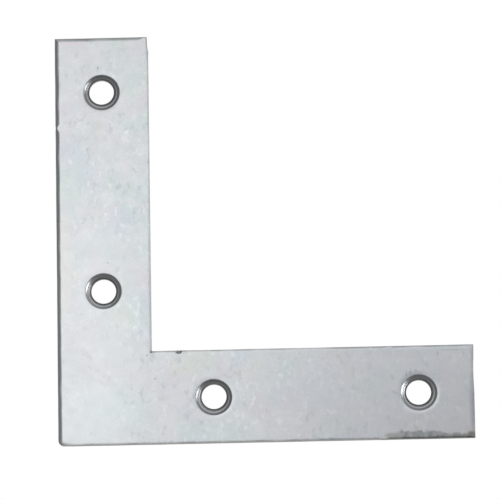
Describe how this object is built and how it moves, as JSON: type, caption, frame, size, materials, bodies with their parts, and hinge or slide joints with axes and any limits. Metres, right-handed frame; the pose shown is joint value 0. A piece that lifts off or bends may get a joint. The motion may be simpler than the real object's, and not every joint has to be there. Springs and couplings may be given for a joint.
{
  "type": "flat corner brace",
  "caption": "Flat L-shaped steel plate with countersunk screw holes along both arms, screwed across a square joint to hold it at a right angle.",
  "frame": {"origin": "on the flat back face, where the centre lines of the two arms cross", "axes": "+X along one arm, +Y along the other, +Z out of the countersunk front face"},
  "size_m": [0.08, 0.08, 0.002],
  "materials": {
    "zinc_plate": "bright zinc plate on blanked strip steel, satin, with faint cloudy tints, handling marks and darker rolled edges"
  },
  "bodies": {
    "root": {"corner_plate": "zinc_plate"}
  },
  "joints": []
}
